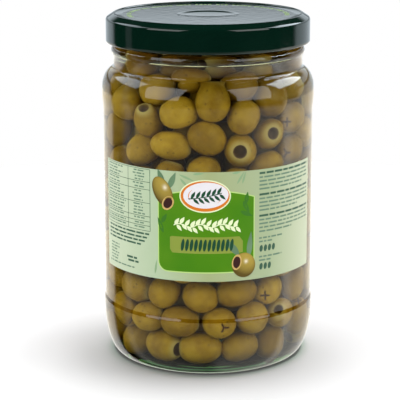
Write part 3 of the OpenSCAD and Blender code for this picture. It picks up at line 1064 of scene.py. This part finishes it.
scene = bpy.context.scene
scene.view_settings.view_transform = "Standard"
scene.view_settings.look = "None"
scene.cycles.max_bounces = 16
scene.cycles.transmission_bounces = 16
scene.cycles.transparent_max_bounces = 24
scene.cycles.caustics_reflective = False

table_r = 0.5
jar_mid_z = 0.1
t = np.linspace(0, 2 * math.pi, 128, endpoint=False)
table_rim = np.column_stack([table_r * np.sin(t), -table_r * np.cos(t), 0 * t])
floor = meshed("table", table_rim, [list(range(len(t)))])
floor_material, nodes = new_material("white_table")
nodes.add("OutputMaterial", Surface=nodes.add("BsdfDiffuse", Color=(0.66, 0.66, 0.67)))
floor.data.materials.append(floor_material)
floor.visible_glossy = False

world = bpy.data.worlds.new("studio")
scene.world = world
world.use_nodes = True
sky = Nodes(world.node_tree)


def ramp(value, low, high, to_low=0.0, to_high=1.0):
    """A smooth step from to_low to to_high as a value goes from low to high."""
    return sky.step(value, low, high, to_low, to_high, interpolation_type="SMOOTHSTEP")


def times(*values):
    """The product of values."""
    product = values[0]
    for value in values[1:]:
        product = sky.maths("MULTIPLY", product, value)
    return product


def plus(*values):
    """The sum of values."""
    total = values[0]
    for value in values[1:]:
        total = sky.maths("ADD", total, value)
    return total


# Surroundings that the glass and the lacquer mirror: a white wall behind, with a greyer strip over the
# level of the table, a dark ceiling and a dark front
toward = sky.add("SeparateXYZ", sky.add("TexCoord").outputs["Generated"])
side, back, rise = toward.outputs


def leaned(amount):
    """The direction's backward part plus an amount of its rightward part."""
    return sky.maths("MULTIPLY_ADD", side, amount, back)


over_table = ramp(rise, -0.165, -0.150)
low_wall = times(ramp(leaned(0.35), 0.26, 0.42, 0.0, 1.4), ramp(rise, -0.165, -0.150, 1.0, 0.0))
high_wall = times(ramp(leaned(0.15), 0.46, 0.62), over_table)
wall_tone = plus(ramp(rise, 0.110, 0.135, 0.0, 0.85), ramp(rise, 0.02, 0.08, 0.95, 0.22))
behind = times(plus(low_wall, high_wall), wall_tone, ramp(rise, 0.25, 0.40, 1.0, 0.02))
to_left = ramp(side, -0.2, 0.0, 1.0, 0.0)
strip = times(ramp(back, 0.04, 0.10, 0.0, 0.25), ramp(back, 0.2, 0.28, 1.0, 0.0), to_left)
# White tables that stand lower down on both sides and in front
lower = ramp(rise, -0.195, -0.170, 1.0, 0.0)
right_side = times(ramp(back, -0.95, -0.45), ramp(back, 0.1, 0.4, 0.8, 0.0), ramp(side, 0.0, 0.2))
left_side = times(ramp(back, -0.55, -0.35), ramp(back, 0.1, 0.4, 0.2, 0.0), to_left)
sides = times(plus(right_side, left_side, ramp(back, 0.1, 0.4, 0.34, 0.0)), lower)
# Tall windows at both sides, which show as glints on the shoulders and the lid's corner
window_wide = times(ramp(back, -0.08, -0.02), ramp(back, 0.66, 0.74, 1.0, 0.0))
window_tall = times(ramp(rise, 0.32, 0.36), ramp(rise, 0.70, 0.75, 1.0, 0.0))
window_side = plus(ramp(side, -0.46, -0.38, 3.5, 0.0), ramp(side, 0.38, 0.46, 0.0, 8.0))
mirrored = plus(behind, strip, sides, times(window_wide, window_tall, window_side))
mirrored_tint = sky.mixed(over_table, (1.0, 0.98, 0.92), (0.86, 0.96, 1.04))
# Mirrored and bent rays see those surroundings, diffuse ones an even dome, and the camera plain white
ray_kind = sky.add("LightPath")
mirror_ray = plus(ray_kind.outputs["Is Glossy Ray"], ray_kind.outputs["Is Transmission Ray"])
dome_light = sky.add("Background", Color=(1.0, 0.995, 0.98), Strength=0.5)
mirrored_light = sky.add("Background", Color=mirrored_tint, Strength=mirrored)
white_ground = sky.add("Background", Color=(1, 1, 1), Strength=1.0)
seen_in_jar = sky.add("MixShader", mirror_ray, dome_light, mirrored_light)
chosen_sky = sky.add("MixShader", ray_kind.outputs["Is Camera Ray"], seen_in_jar, white_ground)
sky.add("OutputWorld", Surface=chosen_sky)


def soft_light(name, turn, rise, distance, width, tall, watts):
    """A rectangular soft light at an angle round from the front and up, facing the jar's middle."""
    light = bpy.data.lights.new(name, "AREA")
    light.shape = "RECTANGLE"
    light.size = width
    light.size_y = tall
    light.energy = watts
    lamp = bpy.data.objects.new(name, light)
    bpy.context.collection.objects.link(lamp)
    turn, rise = math.radians(turn), math.radians(rise)
    lamp.location = (
        distance * math.cos(rise) * math.sin(turn),
        -distance * math.cos(rise) * math.cos(turn),
        jar_mid_z + distance * math.sin(rise),
    )
    lamp.rotation_euler = (math.pi / 2 - rise, 0, turn)
    lamp.visible_camera = False
    return lamp


# The lights on the jar leave the table out, and three high lights shine on the table alone
off_table = bpy.data.collections.new("off_table")
off_table.objects.link(floor)
off_table.collection_objects[0].light_linking.link_state = "EXCLUDE"
for name, turn, rise, distance, width, tall, watts in (
    ("soft_left", -50, 25, 1.2, 0.87, 0.95, 7.5), ("soft_right", 50, 25, 1.2, 0.87, 0.95, 7.5),
    ("side_left", -116, 12, 1.0, 0.4, 0.9, 4), ("side_right", 116, 12, 1.0, 0.4, 0.9, 2),
    ("soft_top", 180, 78, 1.1, 1.2, 0.9, 8),
):
    jar_light = soft_light(name, turn, rise, distance, width, tall, watts)
    jar_light.light_linking.receiver_collection = off_table
    jar_light.visible_glossy = name in ("soft_left", "soft_right")
on_table = bpy.data.collections.new("on_table")
on_table.objects.link(floor)
for name, turn, watts in (("table_left", -100, 19), ("table_right", 100, 39), ("table_back", 180, 28)):
    table_light = soft_light(name, turn, 79, 2.5, 0.7, 0.7, watts)
    table_light.light_linking.receiver_collection = on_table
    table_light.visible_glossy = False

camera = bpy.data.objects.new("camera", bpy.data.cameras.new("camera"))
bpy.context.collection.objects.link(camera)
camera.data.lens = 145.3
camera.data.sensor_width = 36
camera.data.shift_x = -0.0198
camera.data.shift_y = -0.0622
camera_tilt = math.radians(12.8)
camera_distance = 0.9121
camera_rise = camera_distance * math.sin(camera_tilt)
camera.location = (0, -camera_distance * math.cos(camera_tilt), jar_mid_z + camera_rise)
camera.rotation_euler = (math.pi / 2 - camera_tilt, 0, 0)
scene.camera = camera
